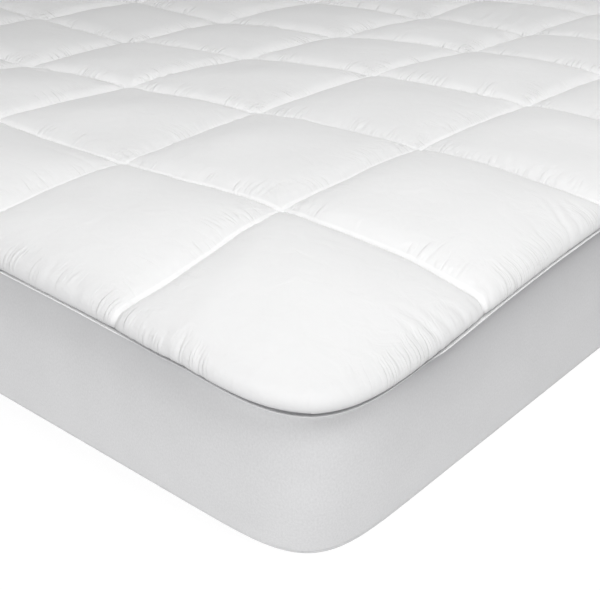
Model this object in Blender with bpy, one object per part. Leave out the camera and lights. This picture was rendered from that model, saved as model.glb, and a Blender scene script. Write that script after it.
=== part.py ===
"""Quilted mattress topper on the mattress it fits.

Metres, +Z up. The origin is the middle of the footprint on the floor, +X runs
along the length and +Y across the width.

Three pieces, from the inside out:
  mattress     plain foam block with soft shoulders
  quilted_top  filled panel, crowned in each stitched box, rolling over the edge to the seam
  skirt        stretch-knit ring from the seam down the side and turned under the mattress

All three share one plan: a rectangle whose corners are superellipse arcs, and one
shoulder, so that each lies a small gap away from the next.
"""

import bpy
import numpy as np

# ---- overall sizes -------------------------------------------------------
MATTRESS_LENGTH = 2.030         # along X
MATTRESS_WIDTH = 1.930          # along Y
TOUCH_GAP = 0.0003              # between pieces that lie on each other

# ---- heights above the floor --------------------------------------------
CLOTH_THICKNESS = 0.0020        # stretch knit of the skirt
MATTRESS_TOP = 0.2265
SEAM_MID = 0.197                # seam between panel and skirt, middle of a side
SEAM_CORNER = 0.160             # the same seam at a corner
SEAM_RISE_LENGTH = 0.30         # how far along a side the seam climbs out of the corner
SEAM_RISE_POWER = 1.5           # over 1 keeps it level at the corner before it climbs

# ---- plan corners --------------------------------------------------------
CORNER_ZONE = 0.255             # a corner arc, and the shoulder, take this much of each side
CORNER_POWER_TOP = 4.56         # superellipse power at the shoulder, softer
CORNER_POWER_BASE = 6.73        # and at the floor, squarer

# ---- shoulder ------------------------------------------------------------
EDGE_ROUND_MID = 0.012          # radius of the mattress's top edge along a side
EDGE_ROUND_CORNER = 0.006       # and at a corner
FALL_BEND_MID = 1.00            # near 1 the top bends down all the way across the shoulder
FALL_BEND_CORNER = 0.12         # near 0 it bends at once and then slopes straight
FALL_BEND_POWER = 6.0           # over 1 keeps the straight slope close to the corners
SLOPE_PASSES = 8                # passes that match the slope to the round edge
BOTTOM_ROUND = 0.005            # radius of the mattress's bottom edge
SIDE_ROWS = (0.33, 0.66)        # rows down the mattress side, as shares of it
BOTTOM_ROLL = (0, 45, 90)       # degrees turned round its bottom edge, row by row

# ---- quilting ------------------------------------------------------------
FIRST_LINE = 0.285              # first stitch line to the mattress side
PITCH_X, LINES_X = 0.298, 6     # boxes along the length
PITCH_Y, LINES_Y = 0.322, 5     # boxes across the width
STITCH_THICKNESS = 0.0082       # panel thickness where it is sewn down
SEAM_THICKNESS = 0.0022         # panel thickness at the seam
PUFF_HEIGHT = 0.028             # crown of a box above its stitch lines
PUFF_POWER = 0.5                # under 1 gives full sides that fall steeply to the stitching
PANEL_EDGE_GAP = 0.0030         # panel's lining to the mattress over the shoulder

# One row for each line of points across a box, as a fraction of the box.
BOX_FRACTIONS = (0.0, 0.07, 0.25, 0.50, 0.75, 0.93)
# Points between the last stitch line and the shoulder, in metres past the line, where
# there is room for them.
EDGE_BOX_STEPS = (0.018, 0.060)

# Shoulder rows, from the flat top out to the seam. "fall" is how far across the slow
# fall a row is, "turn" is the share of the turn round the edge itself that is done.
SHOULDER_ROWS = (
    # fall, turn
    (0.00, None),
    (0.24, None),
    (0.52, None),
    (0.80, None),
    (None, 0.00),
    (None, 0.40),
    (None, 0.75),
    (None, 1.00),
)

# Rays of a corner arc, in degrees, closer where it bends most.
CORNER_RAYS = (0, 12, 22, 30, 36, 41, 45, 49, 54, 60, 68, 78)
# Points along a straight side, as fractions, closer where the seam climbs.
SIDE_FRACTIONS = (0.0, 0.06, 0.13, 0.22, 0.36, 0.64, 0.78, 0.87, 0.94)

# Skirt section, once round the cloth: outer face from the seam down, then the inner
# face back up. "out" is measured from the mattress side, "height" is a share of the
# seam height where it is "share", and metres below the seam or above the floor
# where it is "below" or "above".
SIDE_CLEARANCE = 0.0010
HEM_REACH = 0.065               # how far the skirt is turned under
SKIRT_OUTER = (
    # out,    measured, value
    (0.0036, "below", 0.0002),
    (0.0050, "below", 0.0028),
    (0.0050, "below", 0.0062),
    (0.0034, "below", 0.0105),
    (0.0038, "share", 0.72),
    (0.0052, "share", 0.42),
    (0.0050, "share", 0.14),
    (0.0044, "above", 0.0070),
    (0.0028, "above", 0.0022),
    (-0.0020, "above", 0.0),
    (-HEM_REACH, "above", 0.0),
)
SKIRT_INNER = (
    (-HEM_REACH, "above", CLOTH_THICKNESS),
    (-0.0020, "above", CLOTH_THICKNESS),
    (0.0010, "above", 0.0034),
    (0.0024, "above", 0.0080),
    (0.0030, "share", 0.14),
    (0.0032, "share", 0.42),
    (SIDE_CLEARANCE, "below", 0.0002),
)

# ---- materials: sRGB colour, roughness -----------------------------------
FABRIC_COLOURS = {
    "quilted_top": ((0.94, 0.94, 0.94), 0.85),
    "skirt": ((0.86, 0.86, 0.86), 0.90),
    "mattress": ((0.92, 0.91, 0.88), 0.90),
}

SHARP_DEGREES = 60              # edges bent further than this stay crisp
HALF_X = MATTRESS_LENGTH / 2
HALF_Y = MATTRESS_WIDTH / 2


# ---- plan and heights ----------------------------------------------------
def seam_height(x, y):
    """Seam height: lowest at a corner, easing up to the mid-side height away from it."""
    from_corner = (HALF_X - np.abs(x)).clip(0) + (HALF_Y - np.abs(y)).clip(0)
    corner_share = np.exp(-(from_corner / SEAM_RISE_LENGTH) ** SEAM_RISE_POWER)
    return SEAM_MID - (SEAM_MID - SEAM_CORNER) * corner_share


def corner_share_at(x, y):
    """1 at a corner, fading to 0 along the sides."""
    return (SEAM_MID - seam_height(x, y)) / (SEAM_MID - SEAM_CORNER)


def zone_point(ray_x, ray_y, reach, power):
    """Plan point at a reach along a ray of a corner zone.

    The ray starts at the inner corner of the zone. Dividing it by its superellipse
    length makes each constant reach one superellipse arc, which is square on to the
    sides where the zone ends. Reach is in metres from the inner corner.
    """
    length = (np.abs(ray_x) ** power + np.abs(ray_y) ** power) ** (1.0 / power)
    length = np.where(length > 0, length, 1.0)
    return ray_x / length * reach, ray_y / length * reach


def zone_normal(ray_x, ray_y, power):
    """Outward direction of the same arc."""
    nx = np.sign(ray_x) * np.abs(ray_x) ** (power - 1.0)
    ny = np.sign(ray_y) * np.abs(ray_y) ** (power - 1.0)
    size = np.hypot(nx, ny)
    size = np.where(size > 0, size, 1.0)
    return nx / size, ny / size


def shoulder_point(row, flat_height, seam_z, corner_share):
    """Reach, height and tilt of one shoulder row.

    The top falls slowly, as the hyperbola sqrt(a^2 + bend^2) - bend of the share a
    that is crossed, and then turns down on a round edge that ends upright at the
    seam. The slope where the two meet depends on both, so it is solved for in a few
    passes. Tilt is the angle of the surface from level.
    """
    along, turn = SHOULDER_ROWS[row]
    edge_round = EDGE_ROUND_MID + (EDGE_ROUND_CORNER - EDGE_ROUND_MID) * corner_share
    mid_share = (1.0 - corner_share) ** FALL_BEND_POWER
    bend = FALL_BEND_CORNER + (FALL_BEND_MID - FALL_BEND_CORNER) * mid_share
    full = np.sqrt(1.0 + bend ** 2) - bend
    start_tilt = 0.0
    for _ in range(SLOPE_PASSES):
        slow_reach = CORNER_ZONE - edge_round * (1.0 - np.sin(start_tilt))
        fall = flat_height - seam_z - edge_round * np.cos(start_tilt)
        start_tilt = np.arctan(fall / slow_reach / np.sqrt(1.0 + bend ** 2) / full)
    if turn is None:
        drop = fall * (np.sqrt(along ** 2 + bend ** 2) - bend) / full
        tilt = np.arctan(fall / slow_reach * along / np.sqrt(along ** 2 + bend ** 2) / full)
        return along * slow_reach, flat_height - drop, tilt
    tilt = start_tilt + (np.pi / 2 - start_tilt) * turn
    reach = CORNER_ZONE - edge_round * (1.0 - np.sin(tilt))
    return reach, seam_z + edge_round * np.cos(tilt), tilt


def plan_ring():
    """Rays and centres once round the plan, counter-clockwise from above."""
    rays, centres = [], []
    quadrants = ((1, 1), (-1, 1), (-1, -1), (1, -1))
    inner_x, inner_y = HALF_X - CORNER_ZONE, HALF_Y - CORNER_ZONE
    for index, (sx, sy) in enumerate(quadrants):
        turns_from_x = sx * sy > 0
        for degrees in CORNER_RAYS:
            angle = np.radians(degrees if turns_from_x else 90 - degrees)
            rays.append((sx * np.cos(angle), sy * np.sin(angle)))
            centres.append((sx * inner_x, sy * inner_y))
        next_sx, next_sy = quadrants[(index + 1) % 4]
        ray = (0.0, float(sy)) if turns_from_x else (float(sx), 0.0)
        for fraction in SIDE_FRACTIONS:
            blend_x = sx + (next_sx - sx) * fraction
            blend_y = sy + (next_sy - sy) * fraction
            rays.append(ray)
            centres.append((blend_x * inner_x, blend_y * inner_y))
    return np.array(rays), np.array(centres)


# ---- mesh helpers --------------------------------------------------------
def ring_band(first, second, count):
    """Quads between two rings of equal count, given by their first indices."""
    steps = np.arange(count)
    following = (steps + 1) % count
    return np.stack([first + steps, first + following, second + following, second + steps], 1)


def add_object(name, points, faces):
    """One closed smooth-shaded object with its own fabric material."""
    mesh = bpy.data.meshes.new(name)
    mesh.from_pydata([tuple(p) for p in points], [], [tuple(int(i) for i in f) for f in faces])
    mesh.validate()
    mesh.shade_smooth()
    mesh.set_sharp_from_angle(angle=np.radians(SHARP_DEGREES))
    item = bpy.data.objects.new(name, mesh)
    bpy.context.scene.collection.objects.link(item)
    colour, roughness = FABRIC_COLOURS[name]
    material = bpy.data.materials.new(name + "_cloth")
    material.use_nodes = True
    shader = material.node_tree.nodes["Principled BSDF"]
    linear = [((c + 0.055) / 1.055) ** 2.4 for c in colour]
    shader.inputs["Base Color"].default_value = (*linear, 1.0)
    shader.inputs["Roughness"].default_value = roughness
    shader.inputs["Metallic"].default_value = 0.0
    mesh.materials.append(material)
    return item


# ---- mattress ------------------------------------------------------------
def build_mattress():
    """Rings from the flat top over the shoulder, down the side and under the edge."""
    rays, centres = plan_ring()
    count = len(rays)
    nx_top, ny_top = zone_point(rays[:, 0], rays[:, 1], CORNER_ZONE, CORNER_POWER_TOP)
    seam_z = seam_height(centres[:, 0] + nx_top, centres[:, 1] + ny_top)
    share = corner_share_at(centres[:, 0] + nx_top, centres[:, 1] + ny_top)
    floor_z = CLOTH_THICKNESS + TOUCH_GAP
    rings = []

    def add_ring(reach, height, power):
        px, py = zone_point(rays[:, 0], rays[:, 1], reach, power)
        heights = np.broadcast_to(height, (count,))
        rings.append(np.stack([centres[:, 0] + px, centres[:, 1] + py, heights], 1))

    for row in range(len(SHOULDER_ROWS)):
        reach, height, _tilt = shoulder_point(row, MATTRESS_TOP, seam_z, share)
        add_ring(reach, height, CORNER_POWER_TOP)
    for down in SIDE_ROWS:
        power = CORNER_POWER_TOP + (CORNER_POWER_BASE - CORNER_POWER_TOP) * down
        height = seam_z + (floor_z + BOTTOM_ROUND - seam_z) * down
        add_ring(CORNER_ZONE, height, power)
    for degrees in BOTTOM_ROLL:
        angle = np.radians(degrees)
        reach = CORNER_ZONE - BOTTOM_ROUND * (1.0 - np.cos(angle))
        height = floor_z + BOTTOM_ROUND * (1.0 - np.sin(angle))
        add_ring(reach, height, CORNER_POWER_BASE)

    points = np.concatenate(rings)
    faces = []
    for index in range(len(rings) - 1):
        faces.extend(ring_band((index + 1) * count, index * count, count))
    faces.append(np.arange(count))
    last = (len(rings) - 1) * count
    faces.append(last + np.arange(count)[::-1])
    return add_object("mattress", points, faces)


# ---- skirt ---------------------------------------------------------------
def section_height(measured, value, seam_z):
    """Height of a section point, given how it is measured."""
    if measured == "below":
        return seam_z - value
    if measured == "share":
        return seam_z * value
    return np.full_like(seam_z, value)


def build_skirt():
    """One section swept round the plan; the cloth closes on itself as a ring."""
    rays, centres = plan_ring()
    count = len(rays)
    sx, sy = zone_point(rays[:, 0], rays[:, 1], CORNER_ZONE, CORNER_POWER_TOP)
    seam_z = seam_height(centres[:, 0] + sx, centres[:, 1] + sy)
    rings = []
    for out, measured, value in SKIRT_OUTER + SKIRT_INNER:
        height = section_height(measured, value, seam_z)
        down = np.clip(1.0 - height / seam_z, 0.0, 1.0)
        power = CORNER_POWER_TOP + (CORNER_POWER_BASE - CORNER_POWER_TOP) * down
        px, py = zone_point(rays[:, 0], rays[:, 1], CORNER_ZONE + out, power)
        rings.append(np.stack([centres[:, 0] + px, centres[:, 1] + py, height], 1))
    points = np.concatenate(rings)
    faces = []
    for index in range(len(rings)):
        following = (index + 1) % len(rings)
        faces.extend(ring_band(following * count, index * count, count))
    return add_object("skirt", points, faces)


# ---- quilted panel -------------------------------------------------------
def panel_columns(half, pitch, lines):
    """Columns across the panel, from the near side to the far side.

    Each column is (position, row, fraction): its plan position, its shoulder row or
    None on the flat top, and the fraction across its box, measured along the cloth.
    """
    line_positions = [-half + FIRST_LINE + i * pitch for i in range(lines)]

    def edge_box(side, width):
        """Columns from the outermost stitch line to the seam, without the line."""
        over_edge = MATTRESS_TOP - SEAM_MID
        cloth_width = width + over_edge
        columns = []
        for step in EDGE_BOX_STEPS:
            if step < width - CORNER_ZONE:
                columns.append((side * (half - width + step), None, step / cloth_width))
        for row, (_fall, turn) in enumerate(SHOULDER_ROWS):
            reach, _height, tilt = shoulder_point(row, MATTRESS_TOP, SEAM_MID, 0.0)
            left = CORNER_ZONE - reach + over_edge
            if turn is not None:
                left = EDGE_ROUND_MID * (np.pi / 2 - tilt)
            position = side * (half - CORNER_ZONE + reach)
            columns.append((position, row, 1.0 - left / cloth_width))
        return columns

    columns = edge_box(-1, FIRST_LINE)[::-1]
    for start in line_positions[:-1]:
        for fraction in BOX_FRACTIONS:
            columns.append((start + fraction * pitch, None, fraction))
    columns.append((line_positions[-1], None, 0.0))
    columns.extend(edge_box(1, half - line_positions[-1]))
    return columns


def puff(fraction):
    """Crown across one box: 0 at both stitch lines and 1 in the middle."""
    return max(4.0 * fraction * (1.0 - fraction), 0.0) ** PUFF_POWER


def panel_surface(columns_x, columns_y, upper):
    """Grid of points of the panel's upper or lower face.

    Each point starts on the mattress's own surface: its plan position, pulled onto
    the corner arcs where both its columns are on a shoulder, at the shoulder's
    height. The upper face then stands off along the surface's normal by the filled
    thickness, and the lower face by the gap to the mattress.
    """
    inner_x, inner_y = HALF_X - CORNER_ZONE, HALF_Y - CORNER_ZONE
    points = np.empty((len(columns_x), len(columns_y), 3))
    for i, (x, row_x, across_x) in enumerate(columns_x):
        for j, (y, row_y, across_y) in enumerate(columns_y):
            ray_x = np.sign(x) * max(abs(x) - inner_x, 0.0)
            ray_y = np.sign(y) * max(abs(y) - inner_y, 0.0)
            rows = [r for r in (row_x, row_y) if r is not None]
            base = MATTRESS_TOP + TOUCH_GAP
            if not rows:
                px, py, height, tilt = x, y, base, 0.0
                nx, ny = 0.0, 0.0
                edge_share = 0.0
            else:
                row = max(rows)
                nominal = np.array(zone_point(ray_x, ray_y, CORNER_ZONE, CORNER_POWER_TOP))
                centre_x = x - ray_x
                centre_y = y - ray_y
                seam_x, seam_y = centre_x + nominal[0], centre_y + nominal[1]
                seam_z = seam_height(seam_x, seam_y) + TOUCH_GAP
                share = corner_share_at(seam_x, seam_y)
                reach, height, tilt = shoulder_point(row, base, seam_z, share)
                nx, ny = zone_normal(ray_x, ray_y, CORNER_POWER_TOP)
                off_x, off_y = zone_point(ray_x, ray_y, reach, CORNER_POWER_TOP)
                px, py = centre_x + off_x, centre_y + off_y
                edge_share = reach / CORNER_ZONE
            stand_off = PANEL_EDGE_GAP * np.sqrt(edge_share)
            if upper:
                sewn = STITCH_THICKNESS + (SEAM_THICKNESS - STITCH_THICKNESS) * edge_share ** 4
                stand_off += sewn + PUFF_HEIGHT * puff(across_x) * puff(across_y)
            points[i, j] = (
                px + nx * np.sin(tilt) * stand_off,
                py + ny * np.sin(tilt) * stand_off,
                height + np.cos(tilt) * stand_off,
            )
    return points


def build_quilted_top():
    """Upper and lower face, joined by a narrow rim at the seam."""
    columns_x = panel_columns(HALF_X, PITCH_X, LINES_X)
    columns_y = panel_columns(HALF_Y, PITCH_Y, LINES_Y)
    count_x, count_y = len(columns_x), len(columns_y)
    upper = panel_surface(columns_x, columns_y, True)
    lower = panel_surface(columns_x, columns_y, False)

    points = list(upper.reshape(-1, 3))
    faces = []
    for i in range(count_x - 1):
        for j in range(count_y - 1):
            a = i * count_y + j
            faces.append((a, a + count_y, a + count_y + 1, a + 1))

    # The lower face is kept as nested rectangles of columns, one for each shoulder
    # row, and one flat face inside the innermost.
    nested = []
    for inset in range(len(SHOULDER_ROWS)):
        nested.append(rectangle_walk(count_x, count_y, inset))
    starts = []
    for walk in nested:
        starts.append(len(points))
        points.extend(lower[i, j] for i, j in walk)
    size = len(nested[0])
    for outer, inner in zip(starts[:-1], starts[1:]):
        faces.extend(ring_band(inner, outer, size))
    faces.append(starts[-1] + np.arange(size)[::-1])

    # Rim: the upper face's border to the lower face's outermost rectangle.
    border = [i * count_y + j for i, j in nested[0]]
    low = starts[0]
    for step in range(size):
        following = (step + 1) % size
        faces.append((border[step], low + step, low + following, border[following]))
    points, faces = merge_repeats(np.array(points), faces)
    return add_object("quilted_top", points, faces)


def rectangle_walk(count_x, count_y, inset):
    """Grid indices round a rectangle set in from the border by some columns.

    The walk goes round the full border of the grid and clamps each index into the
    rectangle, so every walk has the same length and points outside the rectangle
    gather at its corners.
    """
    last_x, last_y = count_x - 1 - inset, count_y - 1 - inset
    walk = [(i, 0) for i in range(count_x - 1)]
    walk += [(count_x - 1, j) for j in range(count_y - 1)]
    walk += [(i, count_y - 1) for i in range(count_x - 1, 0, -1)]
    walk += [(0, j) for j in range(count_y - 1, 0, -1)]
    return [(min(max(i, inset), last_x), min(max(j, inset), last_y)) for i, j in walk]


def merge_repeats(points, faces):
    """Joins points at the same place and drops the faces that then close up."""
    keys = np.round(points, 6)
    _unique, first, index = np.unique(keys, axis=0, return_index=True, return_inverse=True)
    index = index.reshape(-1)
    kept = []
    for face in faces:
        corners = [index[int(v)] for v in face]
        clean = [c for k, c in enumerate(corners) if c != corners[k - 1]]
        if len(set(clean)) >= 3:
            kept.append(clean)
    return points[first], kept


def main():
    for item in list(bpy.data.objects):
        bpy.data.objects.remove(item, do_unlink=True)
    build_mattress()
    build_quilted_top()
    build_skirt()


if __name__ == "__main__":
    main()
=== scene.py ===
"""Quilted mattress topper on its mattress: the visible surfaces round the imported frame.

Laid out as an add-on and run as a script. Lengths are metres unless a table says otherwise.
"""

import math
from functools import partial
from itertools import product

import bmesh
import bpy
import numpy as np
from bpy.props import FloatProperty, PointerProperty, StringProperty
from mathutils import Matrix, Vector


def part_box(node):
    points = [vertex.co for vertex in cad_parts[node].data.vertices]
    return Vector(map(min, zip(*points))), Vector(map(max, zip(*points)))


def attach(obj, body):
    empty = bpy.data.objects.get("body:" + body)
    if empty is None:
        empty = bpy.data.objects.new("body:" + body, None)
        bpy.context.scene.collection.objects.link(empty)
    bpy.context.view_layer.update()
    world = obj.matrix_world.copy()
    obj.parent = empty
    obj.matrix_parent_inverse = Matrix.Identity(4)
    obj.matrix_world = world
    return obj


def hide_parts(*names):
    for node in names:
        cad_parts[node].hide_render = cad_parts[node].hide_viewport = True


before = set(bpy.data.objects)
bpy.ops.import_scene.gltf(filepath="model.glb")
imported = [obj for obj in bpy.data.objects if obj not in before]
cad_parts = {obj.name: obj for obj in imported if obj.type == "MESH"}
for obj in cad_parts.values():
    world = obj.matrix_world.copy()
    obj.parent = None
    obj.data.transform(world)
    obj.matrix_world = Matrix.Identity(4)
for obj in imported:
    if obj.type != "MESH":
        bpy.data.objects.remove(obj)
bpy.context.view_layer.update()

bl_info = {
    "name": "Quilted mattress topper",
    "version": (1, 0, 0),
    "blender": (4, 5, 0),
    "location": "3D View > Sidebar > Topper",
    "description": "Builds a box-quilted topper with its skirt, and the stage it is shown on",
    "category": "Object",
}

SEED = 20
EASED = {"interpolation_type": "SMOOTHSTEP"}

# ---- the plan and the shoulder, as the frame has them --------------------
HALF_X, HALF_Y, MATTRESS_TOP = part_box("mattress")[1]
TOUCH_GAP = 0.0003  # between the panel and the mattress
CORNER_ZONE = 0.255  # a corner arc, and the shoulder, take this much of each side
CORNER_POWER_TOP = 4.56  # superellipse power at the shoulder
CORNER_POWER_BASE = 6.73  # and at the floor
SEAM_MID = 0.197  # seam height in the middle of a side
SEAM_CORNER = 0.160  # and at a corner
SEAM_RISE_LENGTH = 0.30  # the seam rises along a side over about this length
SEAM_RISE_POWER = 1.5
# What the seam rides above that curve: distance from the corner in metres, and the lift
# in millimetres on the short sides and on the long sides.
SEAM_LIFTS = (
    (0.00, 0.0, 0.0),
    (0.04, 0.0, -0.5),
    (0.08, 3.0, -0.5),
    (0.12, 6.0, 0.5),
    (0.17, 8.0, 1.5),
    (0.22, 5.2, 2.0),
    (0.30, 4.0, 4.0),
    (0.45, 2.0, 8.0),
    (0.60, 2.0, 11.0),
    (1.10, 2.0, 12.0),
)
EDGE_ROUND_MID = 0.012  # radius of the mattress's top edge along a side
EDGE_ROUND_CORNER = 0.006  # and at a corner
FALL_BEND_MID = 1.00  # near 1 the top bends down all the way across the shoulder
FALL_BEND_CORNER = 0.12  # near 0 it bends at once and then slopes straight
FALL_BEND_POWER = 6.0
ROLL_CLOTH = EDGE_ROUND_MID * math.pi / 2  # cloth that lies round the edge
SHOULDER_PASSES = 8
PANEL_EDGE_GAP = 0.0030
SEAM_THICKNESS = 0.0022
CLOTH_THICKNESS = 0.0020
SEAM_RISE_WIDTH = 0.130  # the panel swells to its full height this far from the seam
SEAM_FULLNESS_MID = 0.50  # lower swells more steeply
SEAM_FULLNESS_CORNER = 0.42
LINE_FOLD = 0.30  # share of a box's height in the tight fold beside stitches
LINE_FOLD_WIDTH = 0.009
LEAST_RISE = 0.001  # keeps 1 / rise finite on the stitching
FAR_ROWS = 0.8  # where the distances from the two near lines add up to more than this,
FAR_ROWS_EASE = 0.6  # the stitching goes deeper, eased in over this width,
FAR_THINNING = 0.5  # and at most by this share
FILL_WAVES = 26  # long waves that make the fill uneven
FILL_UNEVENNESS = 0.0014  # and their height

LINES_X = 6
LINES_Y = 5
ROW_LIFTS = (1.0, 1.0, 1.0, 1.0, 1.06, 1.1)  # fullness by box count from the near corner

# Spacing of the panel's grid in each row of boxes from the near corner: beside a line,
# in mid box, and how far from the line it takes to widen.
GRID_STEPS = (
    (0.0024, 0.0040, 0.06), (0.0024, 0.0040, 0.06), (0.0044, 0.0090, 0.07),
) + 4 * ((0.0056, 0.0145, 0.07),)
SPACING_SAMPLES = 400
UNDERSIDE_INSETS = (0, 3, 6, 9, 12, 18)  # grid steps in from the border

# Where the sewn lines cross, against an even grid: millimetres along X and Y. One row
# for each line across the length, one pair for each line across the width.
CROSSING_SHIFTS = (
    # line y0      y1         y2         y3         y4
    ((-3, 5), (-20, -24), (-16, -22), (-26, -44), (-16, -14)),  # x0
    ((14, 16), (-2, 5), (-29, -26), (-53, -77), (-30, -24)),  # x1
    ((30, 14), (24, 12), (-28, -32), (-80, -62), (-45, -28)),  # x2
    ((12, 8), (10, -19), (-45, -40), (-90, -54), (-45, -28)),  # x3
    ((-6, 6), (-52, -18), (-58, -62), (-60, -50), (-36, -22)),  # x4
    ((4, -4), (-30, -12), (-40, -24), (-40, -28), (-20, -10)),  # x5
)

SEAM_SHIFT = 0.4  # share of a shift that is left at the near seams
WAVERS = 12  # waves in a sewn line
WAVER_SHIFT = 0.0009  # most that each moves it

# Where the cloth is pulled aside between crossings. Millimetres in the cloth past the
# crossing of the two near lines; the pull fades with its reach as a bell does.
PULLS = (
    # x,    y,    along X, along Y, reach
    (-270, 0, 0, -9, 70),
    (-150, 0, 0, -9, 80),
    (-290, 322, 0, -12, 110),
    (-150, 322, 0, -6, 90),
    (0, -50, -8, 0, 45),
    (0, -190, 9, 0, 60),
)

# Section of the skirt's outer face: how far out from the mattress side, how many lip
# reaches farther, and a height. The height is below the seam in metres plus so many
# lip heights and so many recess heights, a share of the seam's height, or above the floor.
SKIRT_SECTION = (
    # out, lip reaches, measured, value, lip heights, recess heights
    (0.0024, 0.00, "below", 0.0003, 0.00, 0.0),
    (0.0022, 0.06, "below", 0.0005, 0.00, 0.8),
    (0.0022, 0.85, "below", 0.0005, 0.00, 1.0),
    (0.0022, 1.00, "below", 0.0010, 0.30, 1.0),
    (0.0022, 0.92, "below", 0.0016, 0.74, 1.0),
    (0.0022, 0.40, "below", 0.0022, 1.02, 1.0),
    (0.0022, 0.06, "below", 0.0050, 1.12, 1.0),
    (0.0026, 0.00, "below", 0.0130, 1.20, 1.0),
    (0.0130, 0.00, "share", 0.70, 0.0, 0.0),
    (0.0146, 0.00, "share", 0.42, 0.0, 0.0),
    (0.0095, 0.00, "share", 0.14, 0.0, 0.0),
    (0.0052, 0.00, "above", 0.0070, 0.0, 0.0),
    (0.0030, 0.00, "above", 0.0022, 0.0, 0.0),
    (-0.0020, 0.00, "above", 0.0, 0.0, 0.0),
    (-0.0650, 0.00, "above", 0.0, 0.0, 0.0),
)
SECTION_STEPS = (2, 3, 3, 3, 3, 3, 3, 4, 10, 10, 8, 3, 3, 6)  # rows in each span
RING_CORNER_RAYS = 44  # points of the ring in each corner
RING_SIDE_POINTS = 110  # and along each side
MID_SIDE = 60  # ring point where the width is measured
FACE_WAVES = 0.0006  # height of the slow waves in the face

SHADE_DEPTH = 0.026  # the painted shade under the lip dies out over this height
LIP_ROWS = 6  # rows of the table that belong to the turned edge

# The skirt's turned top edge stands out as a narrow lip under the seam: height, reach.
LIP_CORNER = (0.0003, 0.0050)
LIP_SHORT_SIDE = (0.0010, 0.0060)
LIP_LONG_SIDE = (0.0017, 0.0074)
RECESS = (0.0002, 0.0024)  # dark gap between panel and lip: mid side, corner

# Gathers beside the stitching: least width, strength, longest run, how soon they open,
# and how far from the corners they stay.
SEAM_GATHERS = (0.0024, 0.75, 0.020, 0.002, 0.045)
LINE_GATHERS = (0.0031, 0.95, 0.052, 0.004, 0.0)
MIDDLING_WIDTH = 0.0045  # a gather of this width has the full depth

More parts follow.
